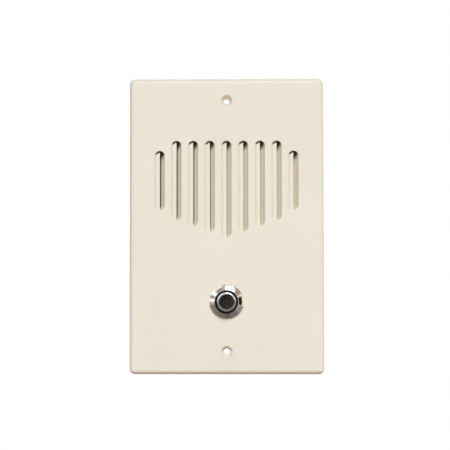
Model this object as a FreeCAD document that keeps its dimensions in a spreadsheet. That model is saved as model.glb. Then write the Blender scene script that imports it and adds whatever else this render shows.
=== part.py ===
import FreeCAD, Part
import math
import os
import re
import Sketcher
from FreeCAD import Placement, Rotation, Vector

# Flush wall intercom station: a moulded faceplate with a louvred grille, a loudspeaker behind
# it that is also the microphone, a chrome call button and a terminal strip for the house wiring.
#
# +Z runs up the plate, the front faces -Y, and the origin is on the wall plane, midway between
# the two mounting screws. Lengths are millimetres and angles degrees.

SIZES = {
    # faceplate shell
    "plate_width": 88.5,
    "plate_height": 134.9,
    "plate_depth": 6.0,
    "skin_thickness": 3.0,
    "rim_thickness": 2.5,
    "corner_radius": 2.5,
    "edge_radius": 2.2,
    "hollow_radius": 1.5,
    # mounting screw holes
    "mount_spacing": 114.3,
    "mount_hole_diameter": 2.95,
    "mount_head_diameter": 5.5,
    "mount_head_angle": 82.0,
    "mount_boss_diameter": 10.0,
    # louvred speaker slots, longest in the middle
    "slot_pitch": 7.62,
    "slot_width": 4.4,
    "slot_top": 38.8,
    "slot_bottom": -5.2,
    "slot_bottom_step": 2.6,
    "outer_slot_step": 4.6,
    "ledge_recess": 0.8,
    "louvre_lean": 45.0,
    "slot_edge_bevel": 0.15,
    # screen behind the slots
    "screen_thickness": 0.3,
    "screen_margin": 2.0,
    # bosses, clamps and screws that hold the speaker
    "clamp_boss_diameter": 6.0,
    "clamp_boss_height": 4.5,
    "clamp_boss_clearance": 1.0,
    "clamp_pilot_diameter": 2.0,
    "clamp_pilot_depth": 5.2,
    "clamp_count": 4,
    "clamp_angle": 45.0,
    "clamp_gauge": 0.8,
    "clamp_width": 6.0,
    "clamp_foot": 2.6,
    "clamp_bend_shift": 0.3,
    "clamp_hole_diameter": 2.9,
    "clamp_screw_length": 5.5,
    "small_head_diameter": 5.0,
    "small_head_height": 1.6,
    "screw_slot_width": 0.7,
    "screw_slot_depth": 0.7,
    # speaker frame
    "speaker_diameter": 70.0,
    "gasket_thickness": 1.5,
    "flange_width": 4.0,
    "basket_gauge": 0.8,
    "ledge_depth": 11.1,
    "ledge_outer_radius": 17.8,
    "ledge_inner_radius": 15.5,
    "wall_bend_shift": 0.55,
    "floor_step": 2.8,
    "floor_hole_radius": 9.0,
    "window_inner_radius": 19.2,
    "window_outer_radius": 28.6,
    "window_angle": 45.0,
    "window_half_angle": 33.0,
    "window_count": 4,
    # cone, surround and coil
    "surround_thickness": 0.3,
    "surround_lip": 1.3,
    "surround_roll": 3.6,
    "surround_rise": 0.7,
    "surround_crown": 1.6,
    "cone_thickness": 0.4,
    "cone_rim": 1.5,
    "cap_radius": 9.0,
    "cap_depth": 8.8,
    "cap_rise": 2.6,
    "cap_crown_radius": 4.5,
    "neck_depth": 9.5,
    "former_radius": 7.0,
    "former_thickness": 0.15,
    "former_length": 8.8,
    "winding_thickness": 0.35,
    "winding_length": 4.4,
    "winding_setback": 0.4,
    "spider_thickness": 0.3,
    "spider_lip": 1.0,
    "spider_wave": 0.7,
    "spider_wave_count": 4,
    "glue_film": 0.05,
    # magnet
    "gap_clearance": 0.4,
    "top_plate_radius": 17.0,
    "top_plate_thickness": 3.0,
    "magnet_radius": 18.0,
    "magnet_hole_radius": 10.0,
    "magnet_thickness": 7.0,
    "yoke_radius": 16.5,
    "yoke_thickness": 3.0,
    "yoke_chamfer": 0.6,
    # lug board on the frame
    "rivet_radius": 1.1,
    "rivet_head_radius": 1.8,
    "rivet_head_height": 0.6,
    "tab_width": 8.0,
    "tab_length": 9.0,
    "board_width": 18.0,
    "board_height": 7.0,
    "board_thickness": 1.2,
    "board_drop": 22.0,
    "lug_spacing": 13.0,
    "lug_width": 3.0,
    "lug_gauge": 0.4,
    "lug_overhang": 3.0,
    "lug_rivet_diameter": 1.6,
    # braids from the cone to the lugs
    "tinsel_diameter": 0.6,
    "tinsel_joint_radius": 18.0,
    "tinsel_window_clearance": 1.4,
    # call button: chrome bushing
    "button_drop": 34.6,
    "bezel_diameter": 15.6,
    "bezel_height": 1.5,
    "bezel_rim": 0.5,
    "bezel_land": 0.2,
    "bezel_bevel_radius": 8.0,
    "mouth_diameter": 10.6,
    "shank_diameter": 12.5,
    "shank_length": 16.5,
    "button_hole_clearance": 0.5,
    "washer_diameter": 17.0,
    "washer_thickness": 0.9,
    "washer_tooth_depth": 0.9,
    "washer_tooth_count": 10,
    "nut_flats": 16.0,
    "nut_thickness": 3.0,
    # call button: sleeve and plunger
    "sleeve_recess": 0.8,
    "sleeve_length": 6.2,
    "plunger_proud": 4.5,
    "plunger_diameter": 8.65,
    "plunger_running_gap": 0.05,
    "plunger_rim_radius": 0.45,
    "insert_diameter": 6.7,
    "insert_setback": 0.35,
    "insert_length": 6.0,
    "stop_gap": 0.3,
    "retainer_thickness": 0.8,
    "retainer_clearance": 0.2,
    "stem_diameter": 3.0,
    "tip_diameter": 1.6,
    "tip_length": 0.9,
    # call button: switch
    "button_travel": 1.5,
    "contact_clearance": 0.2,
    "bridge_diameter": 6.4,
    "bridge_thickness": 0.5,
    "base_thickness": 3.0,
    "base_seat": 0.3,
    "contact_spacing": 4.6,
    "contact_head_diameter": 2.2,
    "contact_head_height": 1.3,
    "contact_pin_diameter": 1.6,
    "tail_width": 2.4,
    "tail_gauge": 0.5,
    "tail_length": 4.5,
    "tail_joint_setback": 1.35,
    "spring_diameter": 8.8,
    "spring_wire": 0.5,
    "spring_turns": 3.0,
    # terminal strip on two posts beside the button
    "strip_edge_gap": 5.5,
    "strip_drop": 41.0,
    "strip_width": 14.0,
    "strip_length": 40.0,
    "strip_thickness": 2.0,
    "strip_corner_radius": 1.5,
    "strip_post_height": 7.0,
    "strip_post_diameter": 6.0,
    "strip_screw_spacing": 34.0,
    "strip_screw_length": 6.0,
    "terminal_pitch": 7.0,
    "terminal_count": 4,
    "terminal_length": 9.0,
    "terminal_width": 5.2,
    "terminal_gauge": 0.8,
    "terminal_tab_length": 5.0,
    "terminal_tab_width": 2.4,
    "terminal_joint_setback": 1.25,
    "terminal_hole_clearance": 0.4,
    "terminal_screw_diameter": 3.0,
    "terminal_screw_length": 4.0,
    "terminal_head_diameter": 5.0,
    "terminal_head_height": 1.8,
    "barrier_thickness": 0.9,
    "barrier_height": 2.4,
    # leads held inside, each rising from its joints before it crosses over
    "lead_diameter": 1.0,
    "right_lug_rise": 12.5,
    "left_lug_rise": 10.5,
    "left_lead_bow": 3.4,
    "left_lead_lift": 2.0,
    "speaker_terminal_rise": 14.0,
    "right_tail_fall": 9.4,
    "right_terminal_rise": 9.4,
    "left_tail_fall": 12.5,
    "left_terminal_rise": 12.0,
}

# Levels along Y, from the front to the rear.
FRONT = "(-plate_depth)"
SKIN_BACK = "(skin_thickness - plate_depth)"
SCREEN_BACK = f"({SKIN_BACK} + screen_thickness)"
LIP_FRONT = f"({SCREEN_BACK} + gasket_thickness)"
FLANGE_FRONT = f"({LIP_FRONT} + surround_thickness)"
FLANGE_BACK = f"({FLANGE_FRONT} + basket_gauge)"
LEDGE_FRONT = f"({FLANGE_FRONT} + ledge_depth)"
LEDGE_BACK = f"({LEDGE_FRONT} + basket_gauge)"
FLOOR_FRONT = f"({LEDGE_FRONT} + floor_step)"
TOP_PLATE_FRONT = f"({FLOOR_FRONT} + basket_gauge)"
MAGNET_FRONT = f"({TOP_PLATE_FRONT} + top_plate_thickness)"
MAGNET_BACK = f"({MAGNET_FRONT} + magnet_thickness)"
BOARD_BACK = f"({LEDGE_BACK} + board_thickness)"
LUG_BACK = f"({BOARD_BACK} + lug_gauge)"
CLAMP_SEAT = f"({SKIN_BACK} + clamp_boss_height)"
BEZEL_FRONT = f"({FRONT} - bezel_height)"
SLEEVE_FRONT = f"({BEZEL_FRONT} + sleeve_recess)"
SLEEVE_BACK = f"({SLEEVE_FRONT} + sleeve_length)"
PLUNGER_FRONT = f"({FRONT} - plunger_proud)"
RETAINER_FRONT = f"({SLEEVE_BACK} + stop_gap)"
RETAINER_BACK = f"({RETAINER_FRONT} + retainer_thickness)"
SHANK_BACK = f"({FRONT} + shank_length)"
BASE_FRONT = f"({SHANK_BACK} - base_thickness)"
CONTACT_FRONT = f"({BASE_FRONT} - contact_head_height)"
BRIDGE_BACK = f"({CONTACT_FRONT} - button_travel - contact_clearance)"
BRIDGE_FRONT = f"({BRIDGE_BACK} - bridge_thickness)"
WASHER_BACK = f"({SKIN_BACK} + washer_thickness)"
STRIP_FRONT = f"({SKIN_BACK} + strip_post_height)"
STRIP_BACK = f"({STRIP_FRONT} + strip_thickness)"
TERMINAL_BACK = f"({STRIP_BACK} + terminal_gauge)"

# Places and radii shared by several pieces.
SPEAKER_Z = "((slot_top + slot_bottom) / 2)"
SPEAKER_AT = ("0", "0", SPEAKER_Z)
BUTTON_AT = ("0", "0", "-button_drop")
FLANGE_RADIUS = "(speaker_diameter / 2)"
FLANGE_INNER = f"({FLANGE_RADIUS} - flange_width)"
BOSS_CIRCLE = f"({FLANGE_RADIUS} + clamp_boss_diameter / 2 + clamp_boss_clearance)"
ROLL_INNER = f"({FLANGE_INNER} - glue_film - surround_roll)"
CONE_RADIUS = f"({ROLL_INNER} + glue_film)"
FORMER_OUTER = "(former_radius + former_thickness)"
WINDING_RADIUS = f"({FORMER_OUTER} + winding_thickness)"
MOUTH_RADIUS = "(mouth_diameter / 2)"
PLUNGER_RADIUS = "(plunger_diameter / 2)"
LUG_END_DROP = "(board_drop + board_height / 2 + lug_overhang / 2)"
STRIP_OFFSET = "(plate_width / 2 - rim_thickness - strip_edge_gap - strip_width / 2)"
TAB_JOINT_REACH = "(terminal_length / 2 + terminal_tab_length - terminal_joint_setback)"

doc = FreeCAD.newDocument("wall_intercom_station")
sheet = doc.addObject("Spreadsheet::Sheet", "Sizes")
for row, (alias, amount) in enumerate(SIZES.items(), start=1):
    sheet.set(f"A{row}", alias)
    sheet.set(f"B{row}", str(amount))
    sheet.setAlias(f"B{row}", alias)
doc.recompute()
station_parts = []


def formula(text):
    """Expression on the sheet for a sum that names its sizes."""
    return re.sub(r"[a-z_]+", lambda word: f"Sizes.{word[0]}" if word[0] in SIZES else word[0], text)


def value(text):
    """Number that such a sum comes to."""
    return float(sheet.evalExpression(formula(text)))


def bind(item, name, text):
    item.setExpression(name, formula(text))


# ---------------------------------------------------------------- bodies and sketches

def new_body(name, at=("0", "0", "0")):
    """Empty body of one sub-part, placed by three sums."""
    body = doc.addObject("PartDesign::Body", name)
    body.Label = name
    for axis, text in zip("xyz", at):
        bind(body, f"Placement.Base.{axis}", text)
    station_parts.append(body)
    return body


def origin_item(body, role):
    return next(item for item in body.Origin.OriginFeatures if item.Role == role)


def sketch_across(body, name, level="0"):
    """Sketch seen from the front, X to the right and Z up, at a level along Y."""
    sketch = body.newObject("Sketcher::SketchObject", name)
    sketch.AttachmentSupport = [(origin_item(body, "XZ_Plane"), "")]
    sketch.MapMode = "FlatFace"
    bind(sketch, "AttachmentOffset.Base.z", f"-({level})")
    return sketch


def sketch_section(body, name):
    """Sketch of a section, X outwards and Y to the rear."""
    sketch = body.newObject("Sketcher::SketchObject", name)
    sketch.AttachmentSupport = [(origin_item(body, "XY_Plane"), "")]
    sketch.MapMode = "FlatFace"
    return sketch


def fix_point(sketch, item, end, spot):
    """Tie one point of the sketch to two sums."""
    for kind, text in zip(("DistanceX", "DistanceY"), spot):
        index = sketch.addConstraint(Sketcher.Constraint(kind, -1, 1, item, end, value(text)))
        bind(sketch, f"Constraints[{index}]", text)


def fix_size(sketch, kind, item, text):
    index = sketch.addConstraint(Sketcher.Constraint(kind, item, value(text)))
    bind(sketch, f"Constraints[{index}]", text)


def arc_between(start, end, radius):
    """Short arc, to the left of the way from start to end, or to the right for a negative radius."""
    chord = end - start
    reach = math.sqrt(radius ** 2 - (chord.Length / 2) ** 2)
    side = Vector(-chord.y, chord.x, 0).normalize() * math.copysign(reach, radius)
    centre = (start + end) * 0.5 + side
    circle = Part.Circle(centre, Vector(0, 0, 1), abs(radius))
    angles = [math.atan2(spot.y - centre.y, spot.x - centre.x) for spot in (start, end)]
    if radius < 0:
        angles.reverse()
    return Part.ArcOfCircle(circle, *angles)


def outline(sketch, points):
    """Closed outline. A point is (across, up), with a third sum where an arc of that radius leads on."""
    spots = [Vector(value(point[0]), value(point[1]), 0) for point in points]
    first = sketch.GeometryCount
    ends = []
    for index, point in enumerate(points):
        start, end = spots[index], spots[(index + 1) % len(points)]
        if len(point) == 2:
            sketch.addGeometry(Part.LineSegment(start, end))
            ends.append((1, 2))
            continue
        radius = value(point[2])
        sketch.addGeometry(arc_between(start, end, radius))
        ends.append((1, 2) if radius > 0 else (2, 1))
    for index, point in enumerate(points):
        following = (index + 1) % len(points)
        sketch.addConstraint(Sketcher.Constraint(
            "Coincident", first + index, ends[index][1], first + following, ends[following][0]))
        fix_point(sketch, first + index, ends[index][0], point)
        if len(point) == 3:
            fix_size(sketch, "Radius", first + index, f"abs({point[2]})")


def box_outline(sketch, low, high):
    outline(sketch, [low, (high[0], low[1]), high, (low[0], high[1])])


def rounded_outline(sketch, width, height, radius):
    """Rectangle about the sketch's origin with rounded corners."""
    right, top = f"({width}) / 2", f"({height}) / 2"
    outline(sketch, [
        (f"{radius} - {right}", f"-{top}"),
        (f"{right} - {radius}", f"-{top}", radius),
        (right, f"{radius} - {top}"),
        (right, f"{top} - {radius}", radius),
        (f"{right} - {radius}", top),
        (f"{radius} - {right}", top, radius),
        (f"-{right}", f"{top} - {radius}"),
        (f"-{right}", f"{radius} - {top}", radius)])


def circle(sketch, spot, diameter):
    item = sketch.addGeometry(Part.Circle(Vector(value(spot[0]), value(spot[1]), 0),
                                          Vector(0, 0, 1), value(diameter) / 2))
    fix_point(sketch, item, 3, spot)
    fix_size(sketch, "Diameter", item, diameter)


def stadium(sketch, across, top, bottom, width):
    """Upright slot with round ends."""
    half = f"({width}) / 2"
    middle, radius = value(across), value(half)
    upper, lower = value(f"{top} - {half}"), value(f"{bottom} + {half}")
    first = sketch.GeometryCount
    for height, start in ((upper, 0), (lower, math.pi)):
        round_end = Part.Circle(Vector(middle, height, 0), Vector(0, 0, 1), radius)
        sketch.addGeometry(Part.ArcOfCircle(round_end, start, start + math.pi))
    sketch.addGeometry(Part.LineSegment(Vector(middle - radius, upper, 0), Vector(middle - radius, lower, 0)))
    sketch.addGeometry(Part.LineSegment(Vector(middle + radius, lower, 0), Vector(middle + radius, upper, 0)))
    cap, foot, left, right = range(first, first + 4)
    for one, one_end, other, other_end in ((cap, 2, left, 1), (left, 2, foot, 1),
                                           (foot, 2, right, 1), (right, 2, cap, 1)):
        sketch.addConstraint(Sketcher.Constraint("Tangent", one, one_end, other, other_end))
    fix_point(sketch, cap, 3, (across, f"{top} - {half}"))
    fix_point(sketch, foot, 3, (across, f"{bottom} + {half}"))
    fix_size(sketch, "Radius", cap, half)
    fix_size(sketch, "Radius", foot, half)


def sector(sketch, inner, outer, middle_angle, half_angle):
    """Window between two radii, about a direction counted from X."""
    def on(radius, angle):
        return (f"{radius} * cos({angle})", f"{radius} * sin({angle})")
    start, end = f"({middle_angle} - {half_angle})", f"({middle_angle} + {half_angle})"
    outline(sketch, [
        (*on(inner, end), f"-{inner}"),
        on(inner, start),
        (*on(outer, start), outer),
        on(outer, end)])


# ---------------------------------------------------------------- features

def pad(body, sketch, length, rearward=True):
    """Pad of a sketch seen from the front, to the rear unless told otherwise."""
    feature = body.newObject("PartDesign::Pad", "Pad")
    feature.Profile = sketch
    feature.Reversed = rearward
    bind(feature, "Length", length)
    body.Tip = feature
    return feature


def check_cut(body, before):
    """Stop where a cut took nothing away."""
    doc.recompute()
    if body.Shape.Volume > before - 1e-6:
        raise RuntimeError(f"{body.Label}: {body.Tip.Name} cuts nothing")


def pocket(body, sketch, depth, rearward=True):
    """Pocket of a sketch seen from the front, to the rear unless told otherwise."""
    doc.recompute()
    before = body.Shape.Volume
    feature = body.newObject("PartDesign::Pocket", "Pocket")
    feature.Profile = sketch
    feature.Reversed = not rearward
    bind(feature, "Length", depth)
    body.Tip = feature
    check_cut(body, before)
    return feature


def turn(body, sketch):
    """Turning of a section about the body's own Y axis."""
    feature = body.newObject("PartDesign::Revolution", "Turning")
    feature.Profile = sketch
    feature.ReferenceAxis = (sketch, ["V_Axis"])
    feature.Angle = 360
    body.Tip = feature
    return feature


def around(body, features, count):
    """Polar pattern of features about the body's own Y axis."""
    doc.recompute()
    feature = body.newObject("PartDesign::PolarPattern", "Around")
    feature.Originals = features
    feature.Axis = (origin_item(body, "Y_Axis"), [""])
    feature.Angle = 360
    bind(feature, "Occurrences", count)
    body.Tip = feature
    return feature


def edges_where(feature, chosen):
    """Names of the edges that a test on their points picks."""
    doc.recompute()
    return [f"Edge{index}" for index, edge in enumerate(feature.Shape.Edges, start=1)
            if chosen([vertex.Point for vertex in edge.Vertexes])]


def round_edges(body, feature, chosen, radius):
    names = edges_where(feature, chosen)
    rounding = body.newObject("PartDesign::Fillet", "Rounding")
    rounding.Base = (feature, names)
    bind(rounding, "Radius", radius)
    body.Tip = rounding
    return rounding


def bevel_edges(body, feature, chosen, bevel):
    names = edges_where(feature, chosen)
    chamfer = body.newObject("PartDesign::Chamfer", "Bevel")
    chamfer.Base = (feature, names)
    bind(chamfer, "Size", bevel)
    body.Tip = chamfer
    return chamfer


def turned(name, points, at):
    """Sub-part turned about its own Y axis from a section of (radius, level) points."""
    body = new_body(name, at)
    section = sketch_section(body, "Section")
    outline(section, points)
    turn(body, section)
    return body


def ring_section(inner, outer, front, back):
    return [(inner, front), (outer, front), (outer, back), (inner, back)]


# ---------------------------------------------------------------- faceplate

def slot_rows():
    """Middle, top and bottom of each of the nine slots."""
    rows = []
    for step in range(-4, 5):
        across = f"{step} * slot_pitch"
        rise = min(abs(step), 3)
        top, bottom = "slot_top", f"slot_bottom + {rise} * slot_bottom_step"
        if abs(step) == 4:
            top, bottom = f"{top} - outer_slot_step", f"{bottom} + outer_slot_step"
        rows.append((across, f"({top})", f"({bottom})"))
    return rows


def slit_outline(sketch, across, top, bottom):
    """Right half of a slot, the mouth of its slanted slit."""
    half = "slot_width / 2"
    outline(sketch, [
        (across, bottom, half),
        (f"{across} + {half}", f"{bottom} + {half}"),
        (f"{across} + {half}", f"{top} - {half}", half),
        (across, top)])


def boss_spots():
    angles = [f"(clamp_angle + {step} * 360 / clamp_count)" for step in range(int(value("clamp_count")))]
    return [(f"{BOSS_CIRCLE} * cos({angle})", f"{SPEAKER_Z} + {BOSS_CIRCLE} * sin({angle})")
            for angle in angles]


def strip_screw_spots():
    return [(STRIP_OFFSET, f"{side} * strip_screw_spacing / 2 - strip_drop") for side in (-1, 1)]


def mount_spots():
    return [("0", f"{side} * mount_spacing / 2") for side in (-1, 1)]


def bosses(body, spots, diameter, height):
    sketch = sketch_across(body, "Bosses", SKIN_BACK)
    for spot in spots:
        circle(sketch, spot, diameter)
    return pad(body, sketch, height)


def pilots(body, spots, level, depth):
    """Blind holes for screws, from a boss top towards the front."""
    sketch = sketch_across(body, "Pilots", level)
    for spot in spots:
        circle(sketch, spot, "clamp_pilot_diameter")
    pocket(body, sketch, depth, rearward=False)


def cut_slots(body):
    """Shallow slots, each with a slit through its right half that leans under the ledge at its left."""
    mouths = sketch_across(body, "SlotMouths", FRONT)
    for across, top, bottom in slot_rows():
        stadium(mouths, across, top, bottom, "slot_width")
    recess = pocket(body, mouths, "ledge_recess")
    front = value(FRONT)
    reach = value("4 * slot_pitch + slot_width")
    highest, lowest = value("slot_top"), value("slot_bottom")

    def on_mouth(points):
        return all(abs(point.y - front) < 1e-6 and abs(point.x) < reach and
                   lowest - 1e-6 < point.z < highest + 1e-6 for point in points)
    bevel_edges(body, recess, on_mouth, "slot_edge_bevel")
    slits = sketch_across(body, "Slits", f"{FRONT} + ledge_recess")
    for across, top, bottom in slot_rows():
        slit_outline(slits, across, top, bottom)
    before = body.Shape.Volume
    cut = body.newObject("PartDesign::Pocket", "SlantedSlits")
    cut.Profile = slits
    cut.UseCustomVector = True
    cut.AlongSketchNormal = True
    cut.Direction = Vector(-1, 1, 0)
    bind(cut, "Direction.x", "-tan(louvre_lean)")
    bind(cut, "Length", "skin_thickness")
    body.Tip = cut
    check_cut(body, before)


def drill_mount_holes(body):
    """Countersunk holes for the two wall screws."""
    spots = sketch_across(body, "MountHoles", FRONT)
    for spot in mount_spots():
        circle(spots, spot, "mount_hole_diameter")
    doc.recompute()
    before = body.Shape.Volume
    hole = body.newObject("PartDesign::Hole", "Countersinks")
    hole.Profile = spots
    hole.ThreadType = "None"
    hole.HoleCutType = "Countersink"
    hole.HoleCutCustomValues = True
    hole.DepthType = "ThroughAll"
    bind(hole, "Diameter", "mount_hole_diameter")
    bind(hole, "HoleCutDiameter", "mount_head_diameter")
    bind(hole, "HoleCutCountersinkAngle", "mount_head_angle")
    body.Tip = hole
    check_cut(body, before)


def make_faceplate():
    body = new_body("faceplate")
    slab_outline = sketch_across(body, "Outline")
    rounded_outline(slab_outline, "plate_width", "plate_height", "corner_radius")
    slab = pad(body, slab_outline, "plate_depth", rearward=False)
    front = value(FRONT)
    round_edges(body, slab, lambda points: all(abs(point.y - front) < 1e-6 for point in points),
                "edge_radius")
    hollow = sketch_across(body, "Hollow")
    rounded_outline(hollow, "plate_width - 2 * rim_thickness", "plate_height - 2 * rim_thickness",
                    "hollow_radius")
    pocket(body, hollow, "plate_depth - skin_thickness", rearward=False)
    cut_slots(body)
    bosses(body, mount_spots(), "mount_boss_diameter", "plate_depth - skin_thickness")
    bosses(body, boss_spots(), "clamp_boss_diameter", "clamp_boss_height")
    bosses(body, strip_screw_spots(), "strip_post_diameter", "strip_post_height")
    pilots(body, boss_spots(), CLAMP_SEAT, "clamp_pilot_depth")
    pilots(body, strip_screw_spots(), STRIP_FRONT, "strip_screw_length")
    button_hole = sketch_across(body, "ButtonHole", FRONT)
    circle(button_hole, ("0", "-button_drop"), "shank_diameter + button_hole_clearance")
    pocket(body, button_hole, "skin_thickness")
    drill_mount_holes(body)


def make_dust_screen():
    body = new_body("dust_screen")
    sketch = sketch_across(body, "Outline", SKIN_BACK)
    half_width = "(4 * slot_pitch + slot_width / 2 + screen_margin)"
    box_outline(sketch, (f"-{half_width}", "slot_bottom - screen_margin"),
                (half_width, "slot_top + screen_margin"))
    pad(body, sketch, "screen_thickness")


# ---------------------------------------------------------------- speaker

def make_speaker_gasket():
    turned("speaker_gasket", ring_section(FLANGE_INNER, FLANGE_RADIUS, SCREEN_BACK, LIP_FRONT), SPEAKER_AT)


def make_speaker_basket():
    """Pressed frame: flange, sloping wall with windows, ledge for the spider, floor and lug tab."""
    wall = "basket_gauge"
    body = turned("speaker_basket", [
        (FLANGE_INNER, FLANGE_FRONT),
        (FLANGE_RADIUS, FLANGE_FRONT),
        (FLANGE_RADIUS, FLANGE_BACK),
        (f"{FLANGE_INNER} + wall_bend_shift", FLANGE_BACK),
        ("ledge_outer_radius + wall_bend_shift", LEDGE_BACK),
        (f"ledge_inner_radius + {wall}", LEDGE_BACK),
        (f"ledge_inner_radius + {wall}", TOP_PLATE_FRONT),
        ("floor_hole_radius", TOP_PLATE_FRONT),
        ("floor_hole_radius", FLOOR_FRONT),
        ("ledge_inner_radius", FLOOR_FRONT),
        ("ledge_inner_radius", LEDGE_FRONT),
        ("ledge_outer_radius", LEDGE_FRONT)], SPEAKER_AT)
    windows = sketch_across(body, "Window", FLANGE_FRONT)
    sector(windows, "window_inner_radius", "window_outer_radius", "window_angle", "window_half_angle")
    first_window = pocket(body, windows, "ledge_depth + basket_gauge")
    around(body, [first_window], "window_count")
    tab = sketch_across(body, "LugTab", LEDGE_FRONT)
    box_outline(tab, ("-tab_width / 2", "-(ledge_inner_radius + basket_gauge + tab_length)"),
                ("tab_width / 2", "-(ledge_inner_radius + basket_gauge / 2)"))
    circle(tab, ("0", "-board_drop"), "2 * rivet_radius")
    pad(body, tab, "basket_gauge")


def make_cone_surround():
    """Lip on the flange, a raised roll and a lip on the cone's rim."""
    roll_outer = f"({FLANGE_INNER} - glue_film)"
    slope = "((surround_roll - surround_crown) / 2)"
    turned("cone_surround", [
        (f"{ROLL_INNER} - surround_lip", LIP_FRONT),
        (ROLL_INNER, LIP_FRONT),
        (f"{ROLL_INNER} + {slope}", f"{LIP_FRONT} - surround_rise"),
        (f"{roll_outer} - {slope}", f"{LIP_FRONT} - surround_rise"),
        (roll_outer, LIP_FRONT),
        (f"{FLANGE_RADIUS} - glue_film", LIP_FRONT),
        (f"{FLANGE_RADIUS} - glue_film", FLANGE_FRONT),
        (roll_outer, FLANGE_FRONT),
        (f"{roll_outer} - {slope}", f"{FLANGE_FRONT} - surround_rise"),
        (f"{ROLL_INNER} + {slope}", f"{FLANGE_FRONT} - surround_rise"),
        (ROLL_INNER, FLANGE_FRONT),
        (f"{ROLL_INNER} - surround_lip", FLANGE_FRONT)], SPEAKER_AT)


def make_speaker_cone():
    """Paper cone with a flat rim and a shallower neck under the dust cap."""
    rim_inner = f"({CONE_RADIUS} - cone_rim)"
    cap_level = f"({FLANGE_FRONT} + cap_depth)"
    neck_level = f"({FLANGE_FRONT} + neck_depth)"
    turned("speaker_cone", [
        (FORMER_OUTER, neck_level),
        ("cap_radius", cap_level),
        (rim_inner, FLANGE_FRONT),
        (CONE_RADIUS, FLANGE_FRONT),
        (CONE_RADIUS, f"{FLANGE_FRONT} + cone_thickness"),
        (rim_inner, f"{FLANGE_FRONT} + cone_thickness"),
        ("cap_radius", f"{cap_level} + cone_thickness"),
        (FORMER_OUTER, f"{neck_level} + cone_thickness")], SPEAKER_AT)


def make_dust_cap():
    """Pressed felt cap with a flat crown."""
    rim_level = f"({FLANGE_FRONT} + cap_depth)"
    crown_level = f"({rim_level} - cap_rise)"
    turned("dust_cap", [
        ("0", crown_level),
        ("cap_crown_radius", crown_level),
        ("cap_radius", rim_level),
        ("cap_radius - cone_thickness", rim_level),
        ("cap_crown_radius - cone_thickness", f"{crown_level} + cone_thickness"),
        ("0", f"{crown_level} + cone_thickness")], SPEAKER_AT)


def make_voice_coil():
    neck_level = f"({FLANGE_FRONT} + neck_depth)"
    former_back = f"({neck_level} + former_length)"
    winding_back = f"({former_back} - winding_setback)"
    turned("voice_coil_former", ring_section("former_radius", FORMER_OUTER, neck_level, former_back),
           SPEAKER_AT)
    turned("voice_coil_winding", ring_section(FORMER_OUTER, WINDING_RADIUS,
                                              f"{winding_back} - winding_length", winding_back),
           SPEAKER_AT)


def make_spider():
    """Centring disc: a flat lip on the ledge and waves in to the coil former."""
    inner = f"({FORMER_OUTER} + glue_film)"
    outer = "(ledge_outer_radius - glue_film)"
    wave = f"(({outer} - spider_lip - {inner}) / spider_wave_count)"
    ripple = []
    for step in range(int(value("spider_wave_count")) + 1):
        lift = "spider_wave" if step % 2 else "0"
        ripple.append((f"{inner} + {step} * {wave}", f"({LEDGE_FRONT} - {lift})"))
    ripple.append((outer, LEDGE_FRONT))
    front_side = [(radius, f"{level} - spider_thickness") for radius, level in ripple]
    turned("spider", front_side + ripple[::-1], SPEAKER_AT)


def make_magnet():
    pole_radius = "(former_radius - gap_clearance)"
    turned("magnet_top_plate", ring_section(f"{WINDING_RADIUS} + gap_clearance", "top_plate_radius",
                                            TOP_PLATE_FRONT, MAGNET_FRONT), SPEAKER_AT)
    turned("ferrite_magnet", ring_section("magnet_hole_radius", "magnet_radius", MAGNET_FRONT, MAGNET_BACK),
           SPEAKER_AT)
    back = f"({MAGNET_BACK} + yoke_thickness)"
    turned("magnet_yoke", [
        ("0", TOP_PLATE_FRONT),
        (pole_radius, TOP_PLATE_FRONT),
        (pole_radius, MAGNET_BACK),
        ("yoke_radius", MAGNET_BACK),
        ("yoke_radius", f"{back} - yoke_chamfer"),
        ("yoke_radius - yoke_chamfer", back),
        ("0", back)], SPEAKER_AT)


def make_clamps():
    """Cranked clips from the bosses to the rear of the speaker's flange."""
    body = new_body("speaker_clamps", SPEAKER_AT)
    body.Placement = Placement(body.Placement.Base, Rotation(Vector(0, 1, 0), value("clamp_angle")))
    bind(body, "Placement.Rotation.Angle", "clamp_angle")
    seat_inner = f"({BOSS_CIRCLE} - clamp_boss_diameter / 2)"
    foot_inner = f"({FLANGE_RADIUS} - clamp_foot)"
    section = sketch_section(body, "Section")
    outline(section, [
        (f"{BOSS_CIRCLE} + clamp_boss_diameter / 2", CLAMP_SEAT),
        (f"{BOSS_CIRCLE} + clamp_boss_diameter / 2", f"{CLAMP_SEAT} + clamp_gauge"),
        (f"{seat_inner} - clamp_bend_shift", f"{CLAMP_SEAT} + clamp_gauge"),
        (f"{FLANGE_RADIUS} - clamp_bend_shift", f"{FLANGE_BACK} + clamp_gauge"),
        (foot_inner, f"{FLANGE_BACK} + clamp_gauge"),
        (foot_inner, FLANGE_BACK),
        (f"{FLANGE_RADIUS} + clamp_bend_shift", FLANGE_BACK),
        (seat_inner, CLAMP_SEAT)])
    strip = body.newObject("PartDesign::Pad", "Strip")
    strip.Profile = section
    strip.Midplane = True
    bind(strip, "Length", "clamp_width")
    body.Tip = strip
    hole = sketch_across(body, "ScrewHole", CLAMP_SEAT)
    circle(hole, (BOSS_CIRCLE, "0"), "clamp_hole_diameter")
    first_hole = pocket(body, hole, "clamp_gauge")
    around(body, [strip, first_hole], "clamp_count")


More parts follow.
